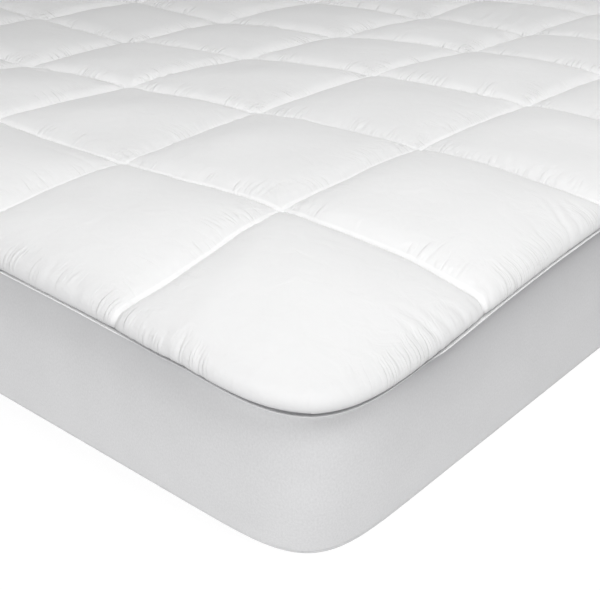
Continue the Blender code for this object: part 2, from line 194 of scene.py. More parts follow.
# Main creases of the panel, in millimetres. Each starts at a point of the cloth, past
# the near stitch lines along X and Y (negative is towards the near seams), and runs at
# an angle in degrees from +X. A negative depth is a ridge.
MAIN_CREASES = (
    # x,     y,      angle, length, width, depth
    (142, -292, 62, 80, 4.5, 1.3),
    (187, -292, 50, 105, 5.5, 2.2),
    (214, -290, 54, 70, 4.0, 1.3),
    (246, -290, 72, 55, 4.5, 1.5),
    (66, -293, 78, 48, 4.2, 1.7),
    (76, -293, 82, 34, 4.0, 1.2),
    (6, -293, 62, 40, 6.0, 1.8),
    (-10, -293, 105, 35, 5.5, 1.6),
    (-115, -293, 78, 60, 6.0, 1.6),
    (-92, -293, 86, 75, 6.5, 2.2),
    (-66, -293, 96, 50, 5.5, 1.6),
    (-38, -293, 102, 45, 5.5, 1.5),
    (-293, -146, 30, 50, 6.0, 2.0),
    (-293, -122, 31, 42, 5.5, 1.7),
    (-293, -100, 40, 45, 5.5, 1.8),
    (-293, -70, 36, 34, 5.0, 1.5),
    (-293, -40, 22, 30, 5.0, 1.1),
    (-293, 50, 44, 80, 6.5, 1.0),
    (-293, 110, 20, 50, 6.0, 1.2),
    (418, -14, -46, 160, 5.5, 1.2),
    (428, -20, -76, 140, 5.5, 1.1),
    # beside the second line across the length
    (300, 85, 24, 55, 5.0, -1.5),
    (300, 115, 28, 60, 5.5, -1.6),
    (300, 150, 30, 60, 5.5, 1.4),
    (300, -100, 25, 50, 5.5, 1.4),
    (300, -134, 18, 70, 6.0, -1.8),
    (300, -165, 15, 65, 6.0, 1.5),
    (300, -195, 8, 60, 6.0, -1.6),
    # beside the near line across the width
    (183, 3, 62, 45, 4.5, -2.2),
    (195, 3, 84, 50, 5.0, -1.8),
    (216, 3, 70, 34, 5.0, 1.2),
    (255, 3, 72, 35, 4.5, -1.8),
    (266, 3, 64, 34, 5.0, 1.1),
    (345, 3, 50, 40, 4.5, -1.8),
    (430, 8, 114, 50, 5.0, 1.6),
    (447, 7, 100, 60, 5.0, -1.8),
    (461, 14, 66, 75, 6.0, 1.4),
    (477, 30, 71, 66, 5.5, 1.2),
    (577, 8, 100, 70, 7.0, -2.0),
    # beside the second line across the width
    (-44, 324, 92, 160, 7.0, 1.2),
    (-5, 328, 84, 90, 5.0, 1.8),
    (12, 328, 82, 75, 5.0, -1.6),
    (60, 316, 66, 50, 5.0, -1.4),
    (94, 308, 68, 62, 5.0, -1.8),
    (113, 306, 76, 65, 5.0, 1.5),
    (232, 300, 83, 70, 5.5, -2.3),
    (246, 300, 78, 55, 5.0, 1.4),
    (349, 322, 90, 55, 5.5, 1.5),
    (395, 326, 112, 65, 5.5, -2.2),
    (420, 324, 86, 90, 6.0, 1.3),
    (622, 292, 71, 70, 5.5, -2.2),
    (671, 290, 60, 80, 5.5, -1.8),
    (913, 270, 84, 80, 6.0, -2.2),
    (941, 268, 74, 100, 6.5, -2.6),
    (962, 268, 62, 100, 6.5, 2.2),
    (985, 268, 66, 90, 6.0, -2.2),
    # beside the third line across the length
    (565, 83, 18, 66, 5.5, -2.6),
    (619, 114, 23, 80, 7.0, 1.4),
    # in the far rows
    (240, 815, 80, 100, 7.0, -2.6),
    (268, 850, 72, 120, 7.0, -2.8),
    (320, 612, 92, 80, 6.0, 1.8),
    (345, 600, 84, 85, 6.0, -2.3),
    (375, 614, 84, 80, 6.0, -2.1),
    (393, 1050, 24, 75, 7.5, -3.6),
    (420, 1045, 40, 65, 7.0, 2.8),
    (492, 1060, 112, 100, 8.0, 3.4),
    (528, 1095, 100, 130, 8.0, -3.8),
    (686, 805, 31, 80, 7.0, -3.8),
    (700, 900, 33, 130, 8.0, -4.2),
    (789, 540, 51, 120, 7.0, -2.8),
    (819, 535, 48, 120, 6.5, 2.5),
    (860, 535, 52, 100, 6.5, -2.8),
    (920, 545, 63, 70, 6.5, 2.4),
    (820, 770, 76, 170, 8.0, 3.8),
    (850, 760, 72, 220, 9.0, -4.6),
    (969, 480, 103, 80, 10.0, -4.6),
    (1218, 474, 2, 110, 11.0, -5.2),
    (1228, 383, 12, 150, 11.0, -5.2),
    (1235, 425, 8, 130, 10.0, 4.4),
    (1449, 472, 179, 190, 13.0, 4.6),
)

# Size of the creases drawn as bump: 11 mm wide and 60 mm long beside a line, a seventh
# of a radian wide and 90 mm long in a fan, 6.5 mm wide and 45 mm long at the seam. The
# 17 takes each line or crossing to its own place in the noise.
COMB_SCALE = (1 / 0.011, 1 / 0.060, 17.0)
FAN_SCALE = (7.0, 1 / 0.090, 17.0)
SEAM_SCALE = (1 / 0.0065, 1 / 0.0065, 1 / 0.045)
FILL_LUMP = 0.030  # the fibre fill makes soft lumps of about this size
OVERLOCK_HALF_PITCH = 0.0014  # half the distance between overlock stitches
LOOPS_PER_METRE = 450.0  # loops of the ticking

CAMERA_PLACE = (-1.6434, -1.4898, 0.7105)
FLOOR_HALF = 14.0
FLOOR_DROP = 0.0004  # keeps the floor clear of the mattress and the skirt
GLOW_FADE = 1.5  # the over-exposed floor fades out over this width
FAR_GLOW = 0.35  # to this share of its glow
SOFTBOX_SIDE = 1.6
SOFTBOX_TARGET = (-0.5, -0.5, 0.2)
SOFTBOXES = (
    # name, place, power in watts
    ("high_right_softbox", (-0.3, -1.9, 2.6), 39.0),
    ("left_softbox", (-2.7, 0.1, 1.8), 23.0),
    ("low_front_softbox", (-2.5, -2.4, 0.7), 26.0),
    ("front_softbox", (-2.3, -2.2, 2.2), 5.0),
    ("back_left_softbox", (-0.3, 2.4, 2.0), 13.5),
    ("back_right_softbox", (2.4, -0.3, 2.0), 19.0),
    ("back_softbox", (2.0, 2.0, 2.3), 3.0),
)


# ---- settings that a user would change -----------------------------------
class TopperQuiltSettings(bpy.types.PropertyGroup):
    """Sizes of the quilting."""

    first_line: FloatProperty(
        name="First Line", description="Mattress side to the first stitch line",
        default=0.285, min=0.1, max=0.5, unit="LENGTH",
    )
    pitch_x: FloatProperty(
        name="Box Length", description="Stitch line to stitch line along the length",
        default=0.298, min=0.1, max=0.5, unit="LENGTH",
    )
    pitch_y: FloatProperty(
        name="Box Width", description="Stitch line to stitch line across the width",
        default=0.322, min=0.1, max=0.5, unit="LENGTH",
    )
    sewn_thickness: FloatProperty(
        name="Sewn Thickness", description="Panel thickness where it is stitched down",
        default=0.0082, min=0.002, max=0.02, unit="LENGTH",
    )
    puff_height: FloatProperty(
        name="Puff Height", description="Crown of a box above its stitch lines",
        default=0.0300, min=0.005, max=0.06, unit="LENGTH",
    )
    puff_power: FloatProperty(
        name="Puff Fullness",
        description="Lower values give fuller sides that fall steeply to the stitching",
        default=0.56, min=0.3, max=1.0,
    )
    crease_depth: FloatProperty(
        name="Gather Depth", description="Depth of a middling gather beside the stitching",
        default=0.0015, min=0.0, max=0.005, unit="LENGTH",
    )


class TopperClothSettings(bpy.types.PropertyGroup):
    """Colours of the cloths, as sRGB hex values."""

    panel_hex: StringProperty(
        name="Panel", description="Colour of the woven panel", default="F4F4F4",
    )
    # Painted highlight: the whiter colour beside the stitch lines stands in for light on the flanks
    # of the boxes.
    stitch_highlight_hex: StringProperty(
        name="Bunched Panel", description="Colour of the panel beside its stitch lines",
        default="FCFCFC",
    )
    # Painted shade: the grey the panel takes at the seam and faintly over its side.
    seam_shade_hex: StringProperty(
        name="Gathered Panel", description="Colour of the panel right at the seam",
        default="AAAAAC",
    )
    skirt_hex: StringProperty(
        name="Skirt", description="Colour of the stretch-knit skirt", default="D0D0D1",
    )
    # Partly painted highlight: the turned edge's whiter colour is white thread and also light on
    # the lip.
    edge_hex: StringProperty(
        name="Turned Edge", description="Colour of the overlocked edge under the seam",
        default="F6F6F6",
    )
    # Painted shade: the grey of the knit under the seam.
    shade_hex: StringProperty(
        name="Gathered Knit", description="Colour of the knit where it is bunched under the seam",
        default="A6A6A8",
    )
    # Painted shade: the grey inside the seam, mostly at the corners.
    groove_shade_hex: StringProperty(
        name="Seam Groove", description="Colour of the knit inside the seam", default="B6B6B8",
    )
    mattress_hex: StringProperty(
        name="Mattress", description="Colour of the mattress ticking", default="E9E7E1",
    )


class TopperStageSettings(bpy.types.PropertyGroup):
    """Camera and lights."""

    lens: FloatProperty(
        name="Lens", description="Focal length for a 36 mm wide sensor",
        default=61.64, min=10, max=200,
    )
    heading: FloatProperty(
        name="Heading", description="Camera heading from +X towards +Y",
        default=0.7125, subtype="ANGLE",
    )
    down: FloatProperty(
        name="Down", description="How far the camera looks down", default=0.4505, subtype="ANGLE",
    )
    light_power: FloatProperty(
        name="Lights", description="Factor on the power of all softboxes", default=1.0, min=0.0,
    )
    sky: FloatProperty(
        name="Sky", description="Strength of the even light from all round",
        default=0.065, min=0.0,
    )
    floor_glow: FloatProperty(
        name="Floor Glow", description="Light that the over-exposed floor gives",
        default=0.75, min=0.0,
    )
    glow_reach: FloatProperty(
        name="Glow Reach", description="How far past the mattress the floor is over-exposed",
        default=0.24, min=0.0, unit="LENGTH",
    )


# ---- small helpers -------------------------------------------------------
def linear(hex_value):
    """sRGB hex to linear RGBA."""
    channels = [int(hex_value[i:i + 2], 16) / 255 for i in (0, 2, 4)]
    return tuple(
        c / 12.92 if c <= 0.04045 else ((c + 0.055) / 1.055) ** 2.4 for c in channels
    ) + (1.0,)


def smooth(x):
    """Smoothstep: 0 below 0, 1 above 1, level at both ends."""
    x = np.clip(x, 0.0, 1.0)
    return x * x * (3.0 - 2.0 * x)


def sway(run, wave, phase=0.0):
    """Sine of a run, one swing for each wave length."""
    return np.sin(2 * math.pi * run / wave + phase)


def cubic_weights(positions, knots):
    """Weights of a Catmull-Rom curve through knots, one row for each position."""
    positions = np.clip(positions, knots[0], knots[-1])
    index = np.clip(np.searchsorted(knots, positions, side="right") - 1, 0, len(knots) - 2)
    t = (positions - knots[index]) / (knots[index + 1] - knots[index])
    parts = (
        (-1, -0.5 * t + t ** 2 - 0.5 * t ** 3),
        (0, 1 - 2.5 * t ** 2 + 1.5 * t ** 3),
        (1, 0.5 * t + 2 * t ** 2 - 1.5 * t ** 3),
        (2, -0.5 * t ** 2 + 0.5 * t ** 3),
    )
    weights = np.zeros((len(positions), len(knots)))
    rows = np.arange(len(positions))
    for offset, weight in parts:
        np.add.at(weights, (rows, np.clip(index + offset, 0, len(knots) - 1)), weight)
    return weights


def grid_quads(rows, columns, closed=False):
    """Quads of a grid of points; a closed one also joins its last rows and columns to the first."""
    open_ends = 0 if closed else 1
    i, j = np.meshgrid(np.arange(rows - open_ends), np.arange(columns - open_ends), indexing="ij")
    this, following, after = i * columns, (i + 1) % rows * columns, (j + 1) % columns
    quads = np.stack([this + j, following + j, following + after, this + after], -1)
    return quads.reshape(-1, 4)


def mesh_object(name, points, quads, extra_faces=(), uv=None, vectors=None):
    """Object at the origin from point and quad arrays, smooth shaded.

    uv is one (u, v) per point; vectors names further arrays of one vector per point.
    """
    faces = [tuple(q) for q in quads.tolist()] + [tuple(f) for f in extra_faces]
    mesh = bpy.data.meshes.new(name)
    mesh.from_pydata(points.tolist(), [], faces)
    mesh.shade_smooth()
    if uv is not None:
        layer = mesh.uv_layers.new(name="cloth")
        corner_points = np.empty(len(mesh.loops), np.int64)
        mesh.loops.foreach_get("vertex_index", corner_points)
        layer.data.foreach_set("uv", uv[corner_points].astype(np.float32).ravel())
    for key, values in (vectors or {}).items():
        layer = mesh.attributes.new(key, "FLOAT_VECTOR", "POINT")
        layer.data.foreach_set("vector", values.astype(np.float32).ravel())
    item = bpy.data.objects.new(name, mesh)
    bpy.context.scene.collection.objects.link(item)
    return item


def add_node(tree, kind, inputs=None, **settings):
    """Adds one shader node with its settings and its inputs, by name or as a list in order.

    An input is a value, a socket to link, or a node whose first live output is linked.
    """
    node = tree.nodes.new("ShaderNode" + kind)
    inputs = dict(enumerate(inputs)) if isinstance(inputs, list) else inputs or {}
    for key, value in settings.items():
        setattr(node, key, value)
    for key, value in inputs.items():
        if isinstance(value, bpy.types.Node):
            value = next(output for output in value.outputs if output.enabled)
        if isinstance(value, bpy.types.NodeSocket):
            tree.links.new(value, node.inputs[key])
        else:
            node.inputs[key].default_value = value
    return node


def new_material(name):
    """An empty node material, and add_node for its tree."""
    material = bpy.data.materials.new(name)
    material.use_nodes = True
    material.node_tree.nodes.clear()
    return material, partial(add_node, material.node_tree)


# ---- plan ----------------------------------------------------------------
def seam_height(x, y):
    """Lowest at a corner, easing up exponentially to the mid-side height.

    The lifts of the side that a point is on are added. Also gives how near the corner
    it is, 0 to 1.
    """
    inset_x, inset_y = (HALF_X - np.abs(x)).clip(0), (HALF_Y - np.abs(y)).clip(0)
    share = np.exp(-((inset_x + inset_y) / SEAM_RISE_LENGTH) ** SEAM_RISE_POWER)
    knots, short, long = np.array(SEAM_LIFTS).T
    on_short = inset_x < inset_y
    weights = cubic_weights(np.where(on_short, inset_y, inset_x).ravel(), knots)
    lift = np.where(
        on_short, (weights @ short).reshape(x.shape), (weights @ long).reshape(x.shape),
    )
    return SEAM_MID - (SEAM_MID - SEAM_CORNER) * share + lift / 1000.0, share


def arc_scale(ray_x, ray_y, power):
    """Factor that brings a ray from the zone's inner corner onto the unit superellipse."""
    length = (np.abs(ray_x) ** power + np.abs(ray_y) ** power) ** (1.0 / power)
    return 1.0 / np.where(length > 0, length, 1.0)


def arc_normal(ray_x, ray_y, power):
    """Outward direction on the superellipse along that ray."""
    nx = np.sign(ray_x) * np.abs(ray_x) ** (power - 1.0)
    ny = np.sign(ray_y) * np.abs(ray_y) ** (power - 1.0)
    size = np.hypot(nx, ny)
    size = np.where(size > 0, size, 1.0)
    return nx / size, ny / size


def shoulder(cloth, line_reach, line_cloth, flat, seam_z, share):
    """Reach, height and tilt at a cloth distance from the seam.

    The top falls slowly, as the hyperbola sqrt(a^2 + bend^2) - bend of the share a of
    the shoulder that is crossed, and then turns down on an arc that ends upright at
    the seam. The slope where the two meet depends on both, so it is solved for in a
    few passes. Reach runs evenly from the end of the arc to the stitch line, so that
    line stays where it is while the arc's radius changes towards the corners.
    """
    edge = EDGE_ROUND_MID + (EDGE_ROUND_CORNER - EDGE_ROUND_MID) * share
    mid_share = (1.0 - share) ** FALL_BEND_POWER
    bend = FALL_BEND_CORNER + (FALL_BEND_MID - FALL_BEND_CORNER) * mid_share
    full = np.sqrt(1.0 + bend ** 2) - bend
    slope = 0.0 * share
    for _ in range(SHOULDER_PASSES):
        slow_reach = CORNER_ZONE - edge * (1.0 - np.sin(slope))
        fall = flat - seam_z - edge * np.cos(slope)
        slope = np.arctan(fall / slow_reach / np.sqrt(1.0 + bend ** 2) / full)
    turn = math.pi / 2 - (math.pi / 2 - slope) * np.clip(cloth / ROLL_CLOTH, 0.0, 1.0)
    in_roll = cloth < ROLL_CLOTH
    run = (cloth - ROLL_CLOTH) / (line_cloth - ROLL_CLOTH)
    slow = slow_reach + (line_reach - slow_reach) * run
    along = np.clip(slow / slow_reach, 0.0, 1.0)
    hyperbola = np.sqrt(along ** 2 + bend ** 2)
    reach = np.where(in_roll, CORNER_ZONE - edge * (1.0 - np.sin(turn)), slow)
    height = np.where(
        in_roll, seam_z + edge * np.cos(turn), flat - fall * (hyperbola - bend) / full,
    )
    tilt = np.where(in_roll, turn, np.arctan(fall / slow_reach * along / hyperbola / full))
    return reach, height, tilt


# ---- quilted panel -------------------------------------------------------
def spaced(start, end, fine, coarse, fade):
    """Points from start to end, close together near both ends and wider in between."""
    length = end - start
    t = np.linspace(0.0, 1.0, SPACING_SAMPLES + 1)
    from_end = np.minimum(t, 1.0 - t) * length
    step = fine + (coarse - fine) * smooth(from_end / fade)
    density = 0.5 * (1 / step[1:] + 1 / step[:-1])
    total = np.concatenate([[0.0], np.cumsum(density * length / SPACING_SAMPLES)])
    count = max(int(round(total[-1])), 4)
    return start + length * np.interp(np.linspace(0.0, total[-1], count + 1), total, t)


class Axis:
    """Columns of the panel's grid along one axis.

    cloth is each column's distance along the cloth from the near stitch line, seam
    is its distance to the nearer seam, reach its nominal reach past the inner corner
    of the corner zone, side the sign of the nearer side.
    """

    def __init__(self, half, first, pitch, lines):
        inner = half - CORNER_ZONE
        self.half = half
        self.lines = [-half + first + pitch * i for i in range(lines)]
        far_width = half - self.lines[-1]
        near_cloth = first - EDGE_ROUND_MID + ROLL_CLOTH
        far_cloth = far_width - EDGE_ROUND_MID + ROLL_CLOTH
        stops = [-near_cloth] + [pitch * i for i in range(lines)]
        stops += [stops[-1] + far_cloth]
        self.stops = stops
        parts = [
            spaced(a, b, *step)[:-1] for a, b, step in zip(stops[:-1], stops[1:], GRID_STEPS)
        ]
        self.cloth = np.concatenate(parts + [stops[-1:]])
        near, far = self.cloth - stops[0], stops[-1] - self.cloth
        self.side = np.where(near < far, -1.0, 1.0)
        self.seam = np.minimum(near, far)
        self.line_cloth = np.where(near < far, near_cloth, far_cloth)
        self.line_reach = np.where(near < far, CORNER_ZONE - first, CORNER_ZONE - far_width)
        nominal, _height, _tilt = shoulder(
            self.seam, self.line_reach, self.line_cloth, MATTRESS_TOP, SEAM_MID, 0.0,
        )
        between = (self.cloth >= 0) & (self.cloth <= stops[-2])
        self.plan = np.where(between, -half + first + self.cloth, self.side * (inner + nominal))
        self.reach = np.abs(self.plan) - inner


def spread(ax, ay, key):
    """One value of the columns of each axis, spread over the grid."""
    return np.meshgrid(getattr(ax, key), getattr(ay, key), indexing="ij")


def base_surface(ax, ay):
    """Points and normals of the surface that the panel lies on.

    A column on a shoulder is carried out and down by shoulder(); where both columns
    are, the point goes along its ray from the zone's inner corner, by the reach of
    the column nearer the seam, so each level is one superellipse arc. Also gives how
    near the edge a point is (0 to 1), the seam point it belongs to with its distance
    from it, and how far out each way it is as a share of the zone.
    """
    ray_x, ray_y = (np.maximum(reach, 0.0) for reach in spread(ax, ay, "reach"))
    side_x, side_y = spread(ax, ay, "side")
    plan_x, plan_y = spread(ax, ay, "plan")
    x_leads = np.less_equal(*spread(ax, ay, "seam"))
    seam, line_cloth, line_reach = (
        np.where(x_leads, *spread(ax, ay, key)) for key in ("seam", "line_cloth", "line_reach")
    )

    scale = arc_scale(ray_x, ray_y, CORNER_POWER_TOP)
    centre_x, centre_y = plan_x - side_x * ray_x, plan_y - side_y * ray_y
    foot_x = centre_x + side_x * ray_x * scale * CORNER_ZONE
    foot_y = centre_y + side_y * ray_y * scale * CORNER_ZONE
    seam_z, share = seam_height(foot_x, foot_y)
    base = MATTRESS_TOP + TOUCH_GAP
    reach, height, tilt = shoulder(seam, line_reach, line_cloth, base, seam_z + TOUCH_GAP, share)

    on_zone = (ray_x > 0) | (ray_y > 0)
    reach = np.maximum(reach, 0.0)
    px = np.where(on_zone, centre_x + side_x * ray_x * scale * reach, plan_x)
    py = np.where(on_zone, centre_y + side_y * ray_y * scale * reach, plan_y)
    height = np.where(on_zone, height, base)
    tilt = np.where(on_zone, tilt, 0.0)
    nx, ny = arc_normal(side_x * ray_x, side_y * ray_y, CORNER_POWER_TOP)
    normal = np.stack([nx * np.sin(tilt), ny * np.sin(tilt), np.cos(tilt)], -1)
    edge_share = np.where(on_zone, (reach / CORNER_ZONE) ** 2, 0.0)
    outward = np.stack([ray_x * scale * reach, ray_y * scale * reach], -1) / CORNER_ZONE
    foot = np.stack([foot_x, foot_y, seam], -1)
    return np.stack([px, py, height], -1), normal, edge_share, foot, outward


def rise(distance, half_width, power, fold):
    """Fullness next to one line of stitching.

    Mostly the root of a parabola: 0 on the line, steep beside it, level and 1 from
    the middle of the box on. The share called fold comes up within a centimetre, as
    the tight fold right beside the stitches.
    """
    t = np.clip(distance / half_width, 0.0, 1.0)
    dome = (1.0 - (1.0 - t) ** 2) ** power
    tight = 1.0 - np.exp(-np.clip(distance, 0.0, None) / LINE_FOLD_WIDTH)
    return (1.0 - fold) * dome + fold * tight


def fullness(points, foot, ax, ay, power):
    """Crown of every box, from the rises of the lines and the seam round it.

    They are joined as 1 / sqrt(1/a^2 + 1/b^2 + 1/c^2 - 2): each alone away from the
    others, and fuller in the corners of a box than their product.
    """
    _seam_z, share = seam_height(foot[..., 0], foot[..., 1])
    seam_power = SEAM_FULLNESS_MID + (SEAM_FULLNESS_CORNER - SEAM_FULLNESS_MID) * share
    from_seam = rise(foot[..., 2], SEAM_RISE_WIDTH, seam_power, 0.0)
    total = np.maximum(from_seam, LEAST_RISE) ** -2.0
    for axis, values in ((ax, points[..., 0]), (ay, points[..., 1])):
        stops = [-axis.half - 1.0] + axis.lines + [axis.half + 1.0]
        part = np.ones_like(values)
        for low, high in zip(stops[:-1], stops[1:]):
            half_width = (min(high, axis.half) - max(low, -axis.half)) / 2
            here = np.ones_like(values)
            if low > -axis.half:
                here = np.minimum(here, rise(values - low, half_width, power, LINE_FOLD))
            if high < axis.half:
                here = np.minimum(here, rise(high - values, half_width, power, LINE_FOLD))
            part = np.where((values >= low) & (values <= high), here, part)
        total = total + np.maximum(part, LEAST_RISE) ** -2.0
    return 1.0 / np.sqrt(total - 2.0)


def random_wave(random, u, v, shortest, longest):
    """A wave over the cloth with a random length, heading and phase; gives its length too."""
    wave, heading = random.uniform(shortest, longest), random.uniform(0, math.pi)
    run = u * math.cos(heading) + v * math.sin(heading)
    return sway(run, wave, random.uniform(0, 2 * math.pi)), wave


def line_wander(ax, ay):
    """Plan shift of every point, carried smoothly between the crossings' own shifts.

    A few short waves are added, so that a stitch line wavers as sewing does.
    """
    table = np.pad(np.array(CROSSING_SHIFTS, float) / 1000.0, ((1, 1), (1, 1), (0, 0)))
    table[0, 1:-1, 1] = SEAM_SHIFT * table[1, 1:-1, 1]
    table[1:-1, 0, 0] = SEAM_SHIFT * table[1:-1, 1, 0]
    weights_x, weights_y = (cubic_weights(axis.cloth, np.array(axis.stops)) for axis in (ax, ay))
    shift = np.einsum("ai,bj,ijk->abk", weights_x, weights_y, table)
    u, v = spread(ax, ay, "cloth")
    for x, y, pull_x, pull_y, reach in PULLS:
        away = (u * 1000.0 - x) ** 2 + (v * 1000.0 - y) ** 2
        shift += np.exp(-away / reach ** 2)[..., None] * np.array([pull_x, pull_y]) / 1000.0
    random = np.random.default_rng(SEED + 3)
    for _ in range(WAVERS):
        wave, _length = random_wave(random, u, v, 0.07, 0.20)
        shift = shift + WAVER_SHIFT * wave[..., None] * random.uniform(-1.0, 1.0, 2)
    return shift


def crease(ax, ay, start_x, start_y, angle, length, width, bend, sharp_start):
    """One crease: a trough between two low ridges, opening and fading along its run.

    Across it is (1 - 1.4 b) exp(-b), with b the square of the distance over the
    width. Along it grows from nothing within sharp_start of the stitching and fades
    out towards its end. Returns the window of the grid that it touches and its
    height there.
    """
    spare = 4.0 * width
    cos, sin = math.cos(angle), math.sin(angle)
    ends_x = (start_x, start_x + cos * length)
    ends_y = (start_y, start_y + sin * length)
    i0, i1 = np.searchsorted(ax.cloth, (min(ends_x) - spare, max(ends_x) + spare))
    j0, j1 = np.searchsorted(ay.cloth, (min(ends_y) - spare, max(ends_y) + spare))
    dx = ax.cloth[i0:i1, None] - start_x
    dy = ay.cloth[None, j0:j1] - start_y
    along = dx * cos + dy * sin
    t = along / length
    across = dy * cos - dx * sin - bend * along * np.clip(t, 0.0, 1.0)
    wide = width * (0.75 + 0.8 * np.clip(t, 0.0, 1.0))
    bell = (across / wide) ** 2
    shape = (1.0 - 1.4 * bell) * np.exp(-bell)
    fade = (1.0 - np.exp(-np.clip(along, 0.0, None) / sharp_start)) * (1.0 - smooth(t))
    return (slice(i0, i1), slice(j0, j1)), -shape * fade


def local_step(axis, at):
    """Spacing of the grid's columns at a cloth position."""
    i = int(np.clip(np.searchsorted(axis.cloth, at), 1, len(axis.cloth) - 1))
    return axis.cloth[i] - axis.cloth[i - 1]


def gathers(ax, ay, depth):
    """Creases along every stitch line and the seam, closer and shorter by the seam.

    They come in runs: a slow wave along each line makes some stretches tight and
    leaves others nearly smooth. Each runs square to its line give or take, most are
    short, and a few reach farther into the box. They are deepest near the crossings.
    """
    random = np.random.default_rng(SEED)
    height = np.zeros((len(ax.cloth), len(ay.cloth)))

    def sew(x, y, angle, length, width, deep, bend, sharp_start):
        window, shape = crease(ax, ay, x, y, angle, length, width, bend, sharp_start)
        height[window] += deep * shape

    def comb(other, is_x, stop, side, is_seam):
        least, strength, longest, start, margin = SEAM_GATHERS if is_seam else LINE_GATHERS
        at = other.stops[0] + margin
        phase = random.uniform(0, 2 * math.pi, 3)
        while at < other.stops[-1] - margin:
            width = max(least + 0.0026 * random.random(), 1.25 * local_step(other, at))
            at += width * (1.6 + 1.9 * random.random())
            slow, slower = math.sin(at / 0.021 + phase[0]), math.sin(at / 0.057 + phase[1])
            tight = 0.55 + 0.45 * slow * slower
            if is_seam:
                tight = tight ** 2
            else:
                nearest = min(abs(at - other_stop) for other_stop in other.stops)
                tight = tight * (0.55 + 0.9 * math.exp(-nearest / 0.050))
            length = longest * (0.16 + 0.84 * random.random() ** 3)
            deep = depth * strength * tight * random.lognormal(-0.2, 0.5)
            deep *= width / MIDDLING_WIDTH
            slant = random.normal(0.0, 0.22)
            angle = (0.0 if is_x else math.pi / 2) + (0.0 if side > 0 else math.pi) + slant
            x, y = (stop, at) if is_x else (at, stop)
            sew(x, y, angle, length, width, deep, random.normal(0.0, 0.25), start)

    for axis, other, is_x in ((ax, ay, True), (ay, ax, False)):
        for stop in axis.stops:
            is_first, is_last = stop == axis.stops[0], stop == axis.stops[-1]
            for side in (-1, 1):
                if not (is_first and side < 0 or is_last and side > 0):
                    comb(other, is_x, stop, side, is_first or is_last)

    # From each crossing longer tension creases run out into the boxes.
    quarters = [math.pi / 2 * (quarter + 0.5) for quarter in range(4)]
    for x, y, quarter, _ in product(ax.stops[1:-1], ay.stops[1:-1], quarters, range(2)):
        angle = quarter + random.uniform(-0.68, 0.68)
        width = max(0.0042, 1.3 * local_step(ax, x), 1.3 * local_step(ay, y))
        sew(
            x + 0.006 * math.cos(angle), y + 0.006 * math.sin(angle), angle,
            random.uniform(0.03, 0.13), width, depth * random.uniform(0.3, 1.2),
            random.normal(0.0, 0.2), 0.005,
        )

    for row in MAIN_CREASES:
        x, y, degrees, length, width, deep = np.array(row) / (1000, 1000, 1, 1000, 1000, 1000)
        sew(x, y, math.radians(degrees), length, width, deep, 0.12, 0.003)
    return height


def soft_unevenness(ax, ay):
    """Low rolling unevenness of the fill: a sum of a few long waves in odd directions."""
    random = np.random.default_rng(SEED + 1)
    u, v = spread(ax, ay, "cloth")
    height = np.zeros_like(u)
    for _ in range(FILL_WAVES):
        wave, length = random_wave(random, u, v, 0.09, 0.30)
        height += length * wave
    return height / (FILL_WAVES ** 0.5 * 0.14)


def box_lift(ax, ay):
    """Fill of each box: within a tenth of its row's lift, one value a box."""
    random = np.random.default_rng(SEED + 2)
    lifts = random.uniform(0.90, 1.10, (LINES_X + 1, LINES_Y + 1))
    box_x, box_y = np.meshgrid(*(
        np.clip(np.searchsorted(axis.stops, axis.cloth, side="right") - 1, 0, len(axis.lines))
        for axis in (ax, ay)
    ), indexing="ij")
    rows = np.minimum(box_x + box_y, len(ROW_LIFTS) - 1)
    return lifts[box_x, box_y] * np.array(ROW_LIFTS)[rows]


def panel_points(ax, ay, quilt):
    """Upper face of the panel: base surface plus filled thickness along its normal.

    The stitching is pulled down harder in the rows farther from the near corner.
    """
    base, normal, edge_share, foot, outward = base_surface(ax, ay)
    full = fullness(base, foot, ax, ay, quilt.puff_power)
    u, v = spread(ax, ay, "cloth")
    deeper = smooth((u + v - FAR_ROWS) / FAR_ROWS_EASE)
    thin = quilt.sewn_thickness * (1.0 - FAR_THINNING * deeper)
    sewn = thin + (SEAM_THICKNESS - thin) * edge_share ** 0.75
    puff = quilt.puff_height * full * box_lift(ax, ay)
    puff = puff + FILL_UNEVENNESS * soft_unevenness(ax, ay) * full
    puff = puff + gathers(ax, ay, quilt.crease_depth) * np.clip(full * 3.0, 0.0, 1.0)
    gap = PANEL_EDGE_GAP * edge_share
    points = base + normal * (gap + sewn + np.maximum(puff, 0.0))[..., None]
    points[..., :2] += line_wander(ax, ay) * (1.0 - outward ** 6)
    return points, base + normal * gap[..., None], foot


def border_walk(count_x, count_y, inset):
    """Grid indices round a rectangle set in from the border, clamped into it."""
    last_x, last_y = count_x - 1, count_y - 1
    i = np.concatenate([
        np.arange(last_x), np.full(last_y, last_x), np.arange(last_x, 0, -1), np.zeros(last_y, int),
    ])
    j = np.concatenate([
        np.zeros(last_x, int), np.arange(last_y), np.full(last_x, last_y), np.arange(last_y, 0, -1),
    ])
    return np.clip(i, inset, last_x - inset), np.clip(j, inset, last_y - inset)


